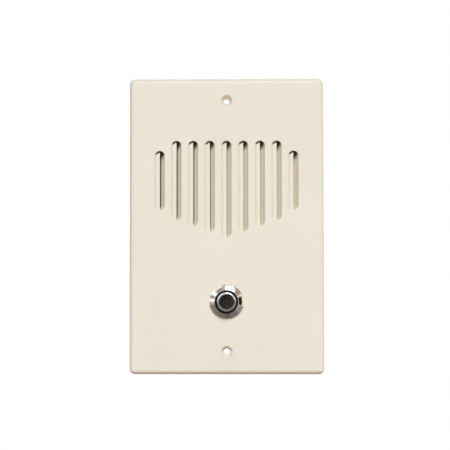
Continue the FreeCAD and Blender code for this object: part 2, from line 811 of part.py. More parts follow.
def make_screws(name, spots, seat, shank, head):
    """Slotted screws as (diameter, length) shanks and (diameter, height) heads on a seat."""
    body = new_body(name)
    shanks = sketch_across(body, "Shanks", seat)
    heads = sketch_across(body, "Heads", seat)
    for spot in spots:
        circle(shanks, spot, shank[0])
        circle(heads, spot, head[0])
    pad(body, shanks, shank[1], rearward=False)
    pad(body, heads, head[1])
    slots = sketch_across(body, "Slots", f"{seat} + {head[1]}")
    for across, up in spots:
        box_outline(slots, (f"{across} - {head[0]} / 2", f"{up} - screw_slot_width / 2"),
                    (f"{across} + {head[0]} / 2", f"{up} + screw_slot_width / 2"))
    pocket(body, slots, "screw_slot_depth", rearward=False)


def make_clamp_screws():
    seat = f"({CLAMP_SEAT} + clamp_gauge)"
    make_screws("clamp_screws", boss_spots(), seat, ("clamp_pilot_diameter", "clamp_screw_length"),
                ("small_head_diameter", "small_head_height"))


# ---------------------------------------------------------------- lug board

def lug_sides():
    return ("-lug_spacing / 2", "lug_spacing / 2")


def make_lug_board():
    body = new_body("lug_board", SPEAKER_AT)
    sketch = sketch_across(body, "Outline", LEDGE_BACK)
    box_outline(sketch, ("-board_width / 2", "-board_drop - board_height / 2"),
                ("board_width / 2", "-board_drop + board_height / 2"))
    circle(sketch, ("0", "-board_drop"), "2 * rivet_radius")
    for across in lug_sides():
        circle(sketch, (across, "-board_drop"), "lug_rivet_diameter")
    pad(body, sketch, "board_thickness")


def make_board_rivet():
    turned("lug_board_rivet", [
        ("0", f"{LEDGE_FRONT} - rivet_head_height"),
        ("rivet_head_radius", f"{LEDGE_FRONT} - rivet_head_height"),
        ("rivet_head_radius", LEDGE_FRONT),
        ("rivet_radius", LEDGE_FRONT),
        ("rivet_radius", BOARD_BACK),
        ("rivet_head_radius", BOARD_BACK),
        ("rivet_head_radius", f"{BOARD_BACK} + rivet_head_height"),
        ("0", f"{BOARD_BACK} + rivet_head_height")], ("0", "0", f"{SPEAKER_Z} - board_drop"))


def make_speaker_lugs():
    """Two flat lugs that reach past the board's edge, each with a rivet through the board."""
    body = new_body("speaker_lugs", SPEAKER_AT)
    strips = sketch_across(body, "Strips", BOARD_BACK)
    stems = sketch_across(body, "Stems", LEDGE_BACK)
    for across in lug_sides():
        box_outline(strips, (f"{across} - lug_width / 2", "-board_drop - board_height / 2 - lug_overhang"),
                    (f"{across} + lug_width / 2", "-board_drop + lug_width / 2"))
        circle(stems, (across, "-board_drop"), "lug_rivet_diameter")
    pad(body, strips, "lug_gauge")
    pad(body, stems, "board_thickness")


# ---------------------------------------------------------------- call button

def make_button_bezel():
    """Bushing with a bevelled flange, a mouth for the sleeve and a seat for the switch base."""
    bezel_radius = "(bezel_diameter / 2)"
    seat_radius = f"({MOUTH_RADIUS} + base_seat)"
    turned("button_bezel", [
        (MOUTH_RADIUS, BEZEL_FRONT),
        (f"{MOUTH_RADIUS} + bezel_land", BEZEL_FRONT, "bezel_bevel_radius"),
        (bezel_radius, f"{FRONT} - bezel_rim"),
        (bezel_radius, FRONT),
        ("shank_diameter / 2", FRONT),
        ("shank_diameter / 2", SHANK_BACK),
        (seat_radius, SHANK_BACK),
        (seat_radius, BASE_FRONT),
        (MOUTH_RADIUS, BASE_FRONT)], BUTTON_AT)


def make_guide_sleeve():
    turned("guide_sleeve", ring_section(f"{PLUNGER_RADIUS} + plunger_running_gap", MOUTH_RADIUS,
                                        SLEEVE_FRONT, SLEEVE_BACK), BUTTON_AT)


def make_button_ring():
    """Chrome tube of the plunger, with a rounded rim and a flange that keeps it in the sleeve."""
    rim = "plunger_rim_radius"
    inner = "(insert_diameter / 2)"
    flange_radius = f"({MOUTH_RADIUS} - retainer_clearance)"
    turned("button_ring", [
        (inner, f"{PLUNGER_FRONT} + {rim}"),
        (f"{inner} + {rim}", PLUNGER_FRONT),
        (f"{PLUNGER_RADIUS} - {rim}", PLUNGER_FRONT, rim),
        (PLUNGER_RADIUS, f"{PLUNGER_FRONT} + {rim}"),
        (PLUNGER_RADIUS, RETAINER_FRONT),
        (flange_radius, RETAINER_FRONT),
        (flange_radius, RETAINER_BACK),
        (inner, RETAINER_BACK)], BUTTON_AT)


def make_button_insert():
    """Black plug of the plunger, with the stem that carries the contact bridge."""
    face = f"({PLUNGER_FRONT} + plunger_rim_radius + insert_setback)"
    turned("button_insert", [
        ("0", face),
        ("insert_diameter / 2", face),
        ("insert_diameter / 2", f"{face} + insert_length"),
        ("stem_diameter / 2", f"{face} + insert_length"),
        ("stem_diameter / 2", BRIDGE_FRONT),
        ("tip_diameter / 2", BRIDGE_FRONT),
        ("tip_diameter / 2", f"{BRIDGE_FRONT} + tip_length"),
        ("0", f"{BRIDGE_FRONT} + tip_length")], BUTTON_AT)


def make_contact_bridge():
    turned("contact_bridge", ring_section("tip_diameter / 2", "bridge_diameter / 2",
                                          BRIDGE_FRONT, BRIDGE_BACK), BUTTON_AT)


def make_switch_base():
    body = new_body("switch_base", BUTTON_AT)
    sketch = sketch_across(body, "Outline", BASE_FRONT)
    circle(sketch, ("0", "0"), f"2 * ({MOUTH_RADIUS} + base_seat)")
    for side in ("-contact_spacing / 2", "contact_spacing / 2"):
        circle(sketch, (side, "0"), "contact_pin_diameter")
    pad(body, sketch, "base_thickness")


def make_contact(name, side):
    """Fixed contact: a head before the base, a pin through it and a flat solder tail behind."""
    across = f"{side} * contact_spacing / 2"
    body = new_body(name, BUTTON_AT)
    head = sketch_across(body, "Head", CONTACT_FRONT)
    circle(head, (across, "0"), "contact_head_diameter")
    pad(body, head, "contact_head_height")
    pin = sketch_across(body, "Pin", BASE_FRONT)
    circle(pin, (across, "0"), "contact_pin_diameter")
    pad(body, pin, "base_thickness")
    tail = sketch_across(body, "Tail", SHANK_BACK)
    box_outline(tail, (f"{across} - tail_width / 2", "-tail_gauge / 2"),
                (f"{across} + tail_width / 2", "tail_gauge / 2"))
    pad(body, tail, "tail_length")


def make_lock_washer():
    """Toothed washer behind the plate."""
    tooth = "washer_tooth_depth"
    inner = "((shank_diameter + button_hole_clearance) / 2)"
    body = turned("lock_washer", ring_section(inner, "washer_diameter / 2", SKIN_BACK, WASHER_BACK),
                  BUTTON_AT)
    notch = sketch_across(body, "Notch", SKIN_BACK)
    box_outline(notch, (f"{inner} - {tooth}", f"-{tooth} / 2"), (f"{inner} + {tooth}", f"{tooth} / 2"))
    first_notch = pocket(body, notch, "washer_thickness")
    around(body, [first_notch], "washer_tooth_count")


def make_panel_nut():
    body = new_body("panel_nut", BUTTON_AT)
    sketch = sketch_across(body, "Hexagon", WASHER_BACK)
    corner = "(nut_flats / 2 / cos(30))"
    outline(sketch, [(f"{corner} * cos({angle})", f"{corner} * sin({angle})") for angle in range(0, 360, 60)])
    circle(sketch, ("0", "0"), "shank_diameter")
    pad(body, sketch, "nut_thickness")


def make_return_spring():
    """Coil spring of square wire between the plunger's flange and the switch base."""
    half = value("spring_wire / 2")
    coil_radius = value("(spring_diameter - spring_wire) / 2")
    front = value(f"{RETAINER_BACK} + spring_wire / 2")
    length = value(f"{BASE_FRONT} - {RETAINER_BACK} - spring_wire")
    helix = Part.makeHelix(length / value("spring_turns"), length, coil_radius)
    corners = [Vector(coil_radius + across, 0, up)
               for across, up in ((-half, -half), (half, -half), (half, half), (-half, half))]
    section = Part.makePolygon(corners + corners[:1])
    spring = doc.addObject("Part::Feature", "return_spring")
    spring.Label = "return_spring"
    spring.Shape = Part.Wire(helix).makePipeShell([section], True, True)
    to_rear = Rotation(Vector(1, 0, 0), -90)
    spring.Placement = Placement(Vector(0, front, value("-button_drop")), to_rear)
    station_parts.append(spring)


# ---------------------------------------------------------------- terminal strip

def terminal_rises():
    """Height of each terminal from the strip's middle."""
    return [f"((terminal_count - 1) / 2 - {step}) * terminal_pitch"
            for step in range(int(value("terminal_count")))]


def make_terminal_strip():
    body = new_body("terminal_strip", (STRIP_OFFSET, "0", "-strip_drop"))
    sketch = sketch_across(body, "Outline", STRIP_FRONT)
    rounded_outline(sketch, "strip_width", "strip_length", "strip_corner_radius")
    for side in (-1, 1):
        circle(sketch, ("0", f"{side} * strip_screw_spacing / 2"), "clamp_hole_diameter")
    for rise in terminal_rises():
        circle(sketch, ("0", rise), "terminal_screw_diameter + terminal_hole_clearance")
    pad(body, sketch, "strip_thickness")
    ribs = sketch_across(body, "Barriers", STRIP_BACK)
    for step in range(int(value("terminal_count")) + 1):
        rise = f"((terminal_count / 2 - {step}) * terminal_pitch)"
        box_outline(ribs, ("-strip_width / 2 + strip_corner_radius", f"{rise} - barrier_thickness / 2"),
                    ("strip_width / 2 - strip_corner_radius", f"{rise} + barrier_thickness / 2"))
    pad(body, ribs, "barrier_height")


def make_terminal_plates():
    """Brass plates, each with a narrow solder tab past the strip's inner edge."""
    body = new_body("terminal_plates", (STRIP_OFFSET, "0", "-strip_drop"))
    sketch = sketch_across(body, "Outlines", STRIP_BACK)
    right, left = "terminal_length / 2", "-terminal_length / 2"
    tip = "-(terminal_length / 2 + terminal_tab_length)"
    half, narrow = "terminal_width / 2", "terminal_tab_width / 2"
    for rise in terminal_rises():
        outline(sketch, [
            (right, f"{rise} + {half}"), (left, f"{rise} + {half}"), (left, f"{rise} + {narrow}"),
            (tip, f"{rise} + {narrow}"), (tip, f"{rise} - {narrow}"), (left, f"{rise} - {narrow}"),
            (left, f"{rise} - {half}"), (right, f"{rise} - {half}")])
        circle(sketch, ("0", rise), "terminal_screw_diameter")
    pad(body, sketch, "terminal_gauge")


def make_terminal_screws():
    spots = [(STRIP_OFFSET, f"{rise} - strip_drop") for rise in terminal_rises()]
    make_screws("terminal_screws", spots, TERMINAL_BACK, ("terminal_screw_diameter", "terminal_screw_length"),
                ("terminal_head_diameter", "terminal_head_height"))


def make_strip_screws():
    make_screws("strip_screws", strip_screw_spots(), STRIP_BACK,
                ("clamp_pilot_diameter", "strip_screw_length"), ("small_head_diameter", "small_head_height"))


# ---------------------------------------------------------------- leads

def lead(name, points, diameter):
    """Round lead along straight runs joined by tangent arcs."""
    edges = []
    start = points[0]
    for before, corner, after in zip(points, points[1:], points[2:]):
        arrive = (corner - before).normalize()
        leave = (after - corner).normalize()
        half_turn = arrive.getAngle(leave) / 2
        reach = 0.45 * min((corner - before).Length, (after - corner).Length)
        radius = reach / math.tan(half_turn)
        arc_start = corner - arrive * reach
        arc_end = corner + leave * reach
        inward = (leave - arrive).normalize()
        centre = corner + inward * (radius / math.cos(half_turn))
        middle = centre - inward * radius
        edges.append(Part.LineSegment(start, arc_start).toShape())
        edges.append(Part.Arc(arc_start, middle, arc_end).toShape())
        start = arc_end
        print(f"{name}: bend radius {radius:.1f}")
    edges.append(Part.LineSegment(start, points[-1]).toShape())
    path = Part.Wire(edges)
    section = Part.Wire(Part.makeCircle(diameter / 2, points[0], points[1] - points[0]))
    tube = path.makePipeShell([section], True, False)
    print(f"{name}: length {path.Length:.1f}, volume ratio "
          f"{tube.Volume / (path.Length * math.pi * diameter ** 2 / 4):.4f}")
    item = doc.addObject("Part::Feature", name)
    item.Label = name
    item.Shape = tube
    station_parts.append(item)


def make_tinsel_leads():
    """Braids from the back of the cone, out through the windows, to the fronts of the lugs."""
    axis = Vector(0, 0, value(SPEAKER_Z))
    side = value("lug_spacing / 2")
    joint_radius = value("tinsel_joint_radius")
    fall = math.sqrt(joint_radius ** 2 - side ** 2)
    rim_inner = value(f"{CONE_RADIUS} - cone_rim")
    slope = value("cap_depth") / (rim_inner - value("cap_radius"))
    joint_level = value(f"{FLANGE_FRONT} + cone_thickness") + (rim_inner - joint_radius) * slope
    wall_slope = value(f"ledge_depth / ({FLANGE_INNER} - ledge_outer_radius)")
    crossing = value("window_inner_radius + tinsel_window_clearance - ledge_outer_radius")
    crossing_level = value(LEDGE_FRONT) - crossing * wall_slope
    for name, across in (("left_tinsel_lead", -side), ("right_tinsel_lead", side)):
        joint = axis + Vector(across, joint_level, -fall)
        outward = Vector(across, 0, -fall).normalize()
        square_off = (outward * slope + Vector(0, 1, 0)) * (crossing_level - joint_level)
        lug = axis + Vector(across, value(BOARD_BACK), -value(LUG_END_DROP))
        lead(name, [joint, joint + square_off, Vector(lug.x, crossing_level, lug.z), lug],
             value("tinsel_diameter"))


def rearward(length):
    return Vector(0, value(length), 0)


def terminal_end(index):
    """Spot on the rear of a terminal's solder tab."""
    rise = terminal_rises()[index]
    return Vector(value(f"{STRIP_OFFSET} - {TAB_JOINT_REACH}"), value(TERMINAL_BACK),
                  value(f"{rise} - strip_drop"))


def make_speaker_leads():
    """Insulated leads from the lugs to the two upper terminals."""
    right_lug = Vector(value("lug_spacing / 2"), value(LUG_BACK), value(f"{SPEAKER_Z} - {LUG_END_DROP}"))
    left_lug = Vector(-right_lug.x, right_lug.y, right_lug.z)
    first, second = terminal_end(0), terminal_end(1)
    lead("right_speaker_lead", [
        right_lug, right_lug + rearward("right_lug_rise"), first + rearward("speaker_terminal_rise"), first],
        value("lead_diameter"))
    start = left_lug + rearward("left_lug_rise")
    finish = second + rearward("speaker_terminal_rise")
    middle = (start + finish) * 0.5 + Vector(0, value("left_lead_bow"), value("left_lead_lift"))
    lead("left_speaker_lead", [left_lug, start, middle, finish, second], value("lead_diameter"))


def make_button_leads():
    """Insulated leads from under the switch tails to the two lower terminals."""
    level = value(f"{SHANK_BACK} + tail_length - tail_joint_setback")
    across = value("contact_spacing / 2")
    height = value("-button_drop - tail_gauge / 2")
    routes = (("right_button_lead", across, "right_tail_fall", "right_terminal_rise", 2),
              ("left_button_lead", -across, "left_tail_fall", "left_terminal_rise", 3))
    for name, side, fall, rise, index in routes:
        tail = Vector(side, level, height)
        terminal = terminal_end(index)
        lead(name, [tail, tail - Vector(0, 0, value(fall)), terminal + rearward(rise), terminal],
             value("lead_diameter"))


# ---------------------------------------------------------------- assembly

def make_station():
    make_faceplate()
    make_dust_screen()
    make_speaker_gasket()
    make_speaker_basket()
    make_cone_surround()
    make_speaker_cone()
    make_dust_cap()
    make_voice_coil()
    make_spider()
    make_magnet()
    make_clamps()
    make_clamp_screws()
    make_lug_board()
    make_board_rivet()
    make_speaker_lugs()
    make_button_bezel()
    make_guide_sleeve()
    make_button_ring()
    make_button_insert()
    make_contact_bridge()
    make_switch_base()
    make_contact("left_contact", -1)
    make_contact("right_contact", 1)
    make_lock_washer()
    make_panel_nut()
    make_return_spring()
    make_terminal_strip()
    make_terminal_plates()
    make_terminal_screws()
    make_strip_screws()
    make_tinsel_leads()
    make_speaker_leads()
    make_button_leads()


def check_and_export():
    """Stop on any failed object or bad solid, then write one STEP file for each sub-part."""
    doc.recompute()
    failed = [item.Name for item in doc.Objects if {"Invalid", "Error"} & set(item.State)]
    if failed:
        raise RuntimeError(f"failed objects: {failed}")
    for item in station_parts:
        if item.Shape.isNull() or not item.Shape.isValid() or not item.Shape.Solids:
            raise RuntimeError(f"{item.Label} has no valid solid")
    os.makedirs("parts", exist_ok=True)
    for item in station_parts:
        item.Shape.exportStep(f"parts/{item.Label}.step")
        print(f"{item.Label}: {len(item.Shape.Solids)} solid(s), {item.Shape.Volume:.1f} mm3")


make_station()
check_and_export()
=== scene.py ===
import math

import bpy
from mathutils import Matrix, Vector


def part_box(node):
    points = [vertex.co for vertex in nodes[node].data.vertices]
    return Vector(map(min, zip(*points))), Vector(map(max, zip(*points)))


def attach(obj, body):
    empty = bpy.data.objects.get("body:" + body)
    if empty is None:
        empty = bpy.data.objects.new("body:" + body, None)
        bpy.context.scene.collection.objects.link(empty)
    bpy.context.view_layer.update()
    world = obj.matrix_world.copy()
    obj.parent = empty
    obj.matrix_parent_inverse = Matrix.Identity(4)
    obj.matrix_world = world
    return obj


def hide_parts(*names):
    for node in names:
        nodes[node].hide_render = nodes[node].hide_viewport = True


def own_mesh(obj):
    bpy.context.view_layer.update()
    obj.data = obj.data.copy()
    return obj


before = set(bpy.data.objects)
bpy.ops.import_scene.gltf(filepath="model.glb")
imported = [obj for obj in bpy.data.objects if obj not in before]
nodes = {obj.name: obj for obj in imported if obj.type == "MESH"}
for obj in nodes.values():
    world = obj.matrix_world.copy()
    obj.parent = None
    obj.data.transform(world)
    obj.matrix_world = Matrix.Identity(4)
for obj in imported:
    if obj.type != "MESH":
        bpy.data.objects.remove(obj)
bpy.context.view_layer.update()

MM = 0.001

# Millimetres from the middle of the plate, which faces -Y and stands in the XZ plane.
FRONT = -6.0                # face of the plate
BUTTON_DROP = 34.6          # axis of the button, below the middle
SPEAKER_RISE = 16.8         # axis of the speaker, above the middle
HOLE_REACH = 57.15          # countersunk holes, above and below the middle
SLOT_PITCH = 7.62
LONG_SLOT_TOP = 38.8        # upper ends of the seven inner slots
SHORT_SLOT_TOP = 34.2       # upper ends of the two outer slots
STRIP_SIDE = 29.25          # screws of the terminal strip
STRIP_DROP = 41.0           # middle of the terminal strip, below the middle


# ---------------------------------------------------------------- camera, lamps and stage

def aim(thing, target, roll=0.0):
    """Turn a camera or lamp towards a point."""
    away = thing.location - Vector(target)
    turn = away.to_track_quat("Z", "Y").to_matrix().to_4x4() @ Matrix.Rotation(roll, 4, "Z")
    thing.rotation_euler = turn.to_euler()


def place_camera():
    """Long lens 600 mm in front of the plate's face, a little to its right and below its middle."""
    lens = bpy.data.cameras.new("camera")
    lens.sensor_width = 36.0
    lens.lens = 105.5
    lens.clip_start = 0.01
    camera = bpy.data.objects.new("camera", lens)
    bpy.context.scene.collection.objects.link(camera)
    azimuth, elevation, roll = (math.radians(angle) for angle in (1.0, -2.3, -0.07))
    distance = 600 * MM
    camera.location = (distance * math.sin(azimuth) * math.cos(elevation),
                       FRONT * MM - distance * math.cos(azimuth) * math.cos(elevation),
                       distance * math.sin(elevation))
    aim(camera, (-0.71 * MM, FRONT * MM, 0.33 * MM), roll)
    bpy.context.scene.camera = camera


def linear(colour):
    """sRGB hex to the linear colour that the shaders take."""
    shares = [int(colour[start:start + 2], 16) / 255 for start in (1, 3, 5)]
    return tuple(share / 12.92 if share <= 0.04045 else ((share + 0.055) / 1.055) ** 2.4
                 for share in shares) + (1.0,)


def add_node(tree, kind, settings=None, links=None):
    """Node with its settings, by input or property name, and the outputs that feed its inputs."""
    node = tree.nodes.new(kind)
    for name, setting in (settings or {}).items():
        if isinstance(name, int) or name in node.inputs:
            node.inputs[name].default_value = setting
        else:
            setattr(node, name, setting)
    for name, source in (links or {}).items():
        tree.links.new(source, node.inputs[name])
    return node


def light_the_world():
    """Plain white surroundings for the camera, glass and reflections, and a dim even fill on the object."""
    world = bpy.data.worlds.new("studio_air")
    bpy.context.scene.world = world
    world.use_nodes = True
    tree = world.node_tree
    tree.nodes.clear()
    path = add_node(tree, "ShaderNodeLightPath")
    seen = path.outputs["Is Camera Ray"]
    for ray in ("Is Transmission Ray", "Is Glossy Ray"):
        seen = add_node(tree, "ShaderNodeMath", {"operation": "MAXIMUM"},
                        {0: seen, 1: path.outputs[ray]}).outputs[0]
    fill, white = 0.04, 1.0
    strength = add_node(tree, "ShaderNodeMapRange", {"To Min": fill, "To Max": white}, {"Value": seen})
    background = add_node(tree, "ShaderNodeBackground", {"Color": (1, 1, 1, 1)},
                          {"Strength": strength.outputs[0]})
    add_node(tree, "ShaderNodeOutputWorld", None, {"Surface": background.outputs[0]})


def add_softbox(name, place, size, watts):
    """Rectangular lamp, placed and sized in metres, that faces the middle of the plate."""
    lamp = bpy.data.lights.new(name, "AREA")
    lamp.shape = "RECTANGLE"
    lamp.size, lamp.size_y = size
    lamp.energy = watts
    softbox = bpy.data.objects.new(name, lamp)
    bpy.context.scene.collection.objects.link(softbox)
    softbox.location = place
    aim(softbox, (0, 0, 0))
    return softbox


def stage_sheet(name, corners, colour):
    """Flat matt sheet of the stage: the floor or a panel."""
    mesh = bpy.data.meshes.new(name)
    mesh.from_pydata([Vector(corner) for corner in corners], [], [range(len(corners))])
    sheet = bpy.data.objects.new(name, mesh)
    bpy.context.scene.collection.objects.link(sheet)
    material = bpy.data.materials.new(name)
    material.use_nodes = True
    shader = material.node_tree.nodes["Principled BSDF"]
    shader.inputs["Base Color"].default_value = linear(colour)
    shader.inputs["Roughness"].default_value = 0.9
    mesh.materials.append(material)
    return sheet


def reflector(name, distance, near, reach, start, stop, colour, glow):
    """Panel that is seen in glossy surfaces only, and there gives the chrome its bright and dark patches: a
    sector round the button's axis, from a start to a stop angle and from a near to a far radius."""
    corners = []
    for radius, angle in ((near, start), (reach, start), (reach, stop), (near, stop)):
        turn = math.radians(angle)
        corners.append((radius * math.cos(turn), -distance,
                        radius * math.sin(turn) - BUTTON_DROP * MM))
    panel = stage_sheet(name, corners, "#000000")
    shader = panel.data.materials[0].node_tree.nodes["Principled BSDF"]
    shader.inputs["Emission Color"].default_value = linear(colour)
    shader.inputs["Emission Strength"].default_value = glow
    panel.visible_camera = False
    panel.visible_diffuse = False
    panel.visible_shadow = False


def build_stage():
    """Pale floor, panels for the chrome and soft lamps, all placed in metres."""
    light_the_world()
    half_width, front, back, floor = 2.0, -2.0, 1.5, -0.30
    stage_sheet("floor", [(-half_width, front, floor), (half_width, front, floor),
                          (half_width, back, floor), (-half_width, back, floor)], "#D3CDC3")
    far, close = 0.45, 0.14
    tan, white, cream, black = "#B8A898", "#FFFFFF", "#FFF1D8", "#000000"
    for panel in (
            # name, distance, near radius, far radius, start and stop angle, colour, glow
            ("tan_panel_top", far, 0.18, 1.8, 96, 106, tan, 1.2),
            ("tan_panel_upper_left", far, 0.18, 0.55, 106, 138, tan, 1.2),
            ("white_panel_upper_left", far, 0.56, 1.3, 107, 140, white, 1.6),
            ("white_panel_left", far, 0.18, 1.2, 141, 156, white, 1.9),
            ("tan_panel_left", far, 0.18, 1.8, 159, 167, tan, 1.2),
            ("white_panel_low_left", far, 0.18, 1.2, 169, 181, white, 1.8),
            ("cream_panel_left", far, 0.18, 1.2, 181, 192, "#D8CBB8", 1.1),
            ("tan_panel_upper_right", far, 0.18, 0.9, 29, 55, tan, 1.2),
            ("cream_panel_upper_right", far, 0.2, 1.3, 22, 28, cream, 1.7),
            ("black_panel_right", far, 0.24, 0.60, -13, 20.5, black, 0.0),
            ("cream_panel_right", far, 0.62, 1.3, -16, 21, cream, 1.7),
            ("grey_panel_low_left", close, 0.056, 0.25, 195, 225, "#A89F93", 1.0),
            ("grey_panel_bottom_left", close, 0.056, 0.25, 225, 256, "#958D82", 1.0),
            ("dark_panel_bottom", close, 0.056, 0.25, 256, 286, "#857E74", 1.0),
            ("grey_panel_bottom_right", close, 0.056, 0.25, 286, 315, "#938B80", 1.0),
            ("grey_panel_low_right", close, 0.056, 0.25, 315, 338, "#B6AD9F", 1.0),
            ("dark_panel_near", close, 0.010, 0.056, 160, 300, "#3C3A38", 1.0),
            ("cream_panel_near", close, 0.010, 0.050, 320, 420, "#F3E6BC", 1.6)):
        reflector(*panel)
    # a large key lamp high in front, a weak strip below it that lifts the undersides, and a lamp for the back
    add_softbox("key_softbox", (0.62, -5.0, 3.9), (3.4, 3.6), 313.0)
    front_fill = add_softbox("front_fill", (0.0, -0.6, -0.2), (0.7, 0.18), 0.72)
    front_fill.visible_glossy = False
    add_softbox("rear_softbox", (0.6, 1.5, 1.4), (3.2, 2.8), 36.0)


place_camera()
build_stage()


# ---------------------------------------------------------------- materials

def start_material(name, colour, roughness, metallic=0.0, ior=1.5):
    """Parts of a finish: its material, its tree, its shader and the place on the piece, in metres."""
    material = bpy.data.materials.new(name)
    material.use_nodes = True
    tree = material.node_tree
    shader = tree.nodes["Principled BSDF"]
    shader.inputs["Base Color"].default_value = linear(colour)
    shader.inputs["Roughness"].default_value = roughness
    shader.inputs["Metallic"].default_value = metallic
    shader.inputs["IOR"].default_value = ior
    place = add_node(tree, "ShaderNodeTexCoord").outputs["Object"]
    return material, tree, shader, place


CLOUD_BAND = (0.35, 0.65)   # most of a cloud's values lie in it


def surface(parts, hue=None, roughness=None, relief=None):
    """Work a finish with patterns. Its hue is (pattern, low colour, high colour), with the band of the pattern
    over which they blend added where it isn't CLOUD_BAND. Its roughness is (pattern, smooth, rough) and its
    relief (pattern, millimetres). A pattern is an output, or a cloud as (millimetres across, detail)."""
    material, tree, shader, place = parts
    clouds = {}
    for job in (hue, roughness, relief):
        if job and isinstance(job[0], tuple) and job[0] not in clouds:
            size, detail = job[0]
            clouds[job[0]] = add_node(tree, "ShaderNodeTexNoise",
                                      {"Scale": 1000.0 / size, "Detail": detail},
                                      {"Vector": place}).outputs["Fac"]
    if hue:
        pattern, low_colour, high_colour, *band = hue
        low, high = band or CLOUD_BAND
        ramp = add_node(tree, "ShaderNodeValToRGB", None, {"Fac": clouds.get(pattern, pattern)})
        ramp.color_ramp.elements[0].position = low
        ramp.color_ramp.elements[1].position = high
        ramp.color_ramp.elements[0].color = linear(low_colour)
        ramp.color_ramp.elements[1].color = linear(high_colour)
        tree.links.new(ramp.outputs["Color"], shader.inputs["Base Color"])
    if roughness:
        pattern, smooth, rough = roughness
        spread = add_node(tree, "ShaderNodeMapRange", {"To Min": smooth, "To Max": rough},
                          {"Value": clouds.get(pattern, pattern)})
        tree.links.new(spread.outputs[0], shader.inputs["Roughness"])
    if relief:
        pattern, height = relief
        bump = add_node(tree, "ShaderNodeBump", {"Distance": height * MM, "Strength": 1.0},
                        {"Height": clouds.get(pattern, pattern)})
        tree.links.new(bump.outputs["Normal"], shader.inputs["Normal"])
    return material


def wave_scale(pitch):
    """Scale at which a wave pattern repeats every pitch millimetres: its sine runs 20 radians per unit."""
    return 1000.0 / pitch / 20 * 6.28


def weave(parts, pitch):
    """Square weave of two crossing sets of threads, pitch millimetres apart."""
    _, tree, _, place = parts
    threads = [add_node(tree, "ShaderNodeTexWave",
                        {"wave_type": "BANDS", "bands_direction": axis, "Scale": wave_scale(pitch)},
                        {"Vector": place}).outputs["Fac"] for axis in "XZ"]
    return add_node(tree, "ShaderNodeMath", {"operation": "MULTIPLY"},
                    {0: threads[0], 1: threads[1]}).outputs[0]


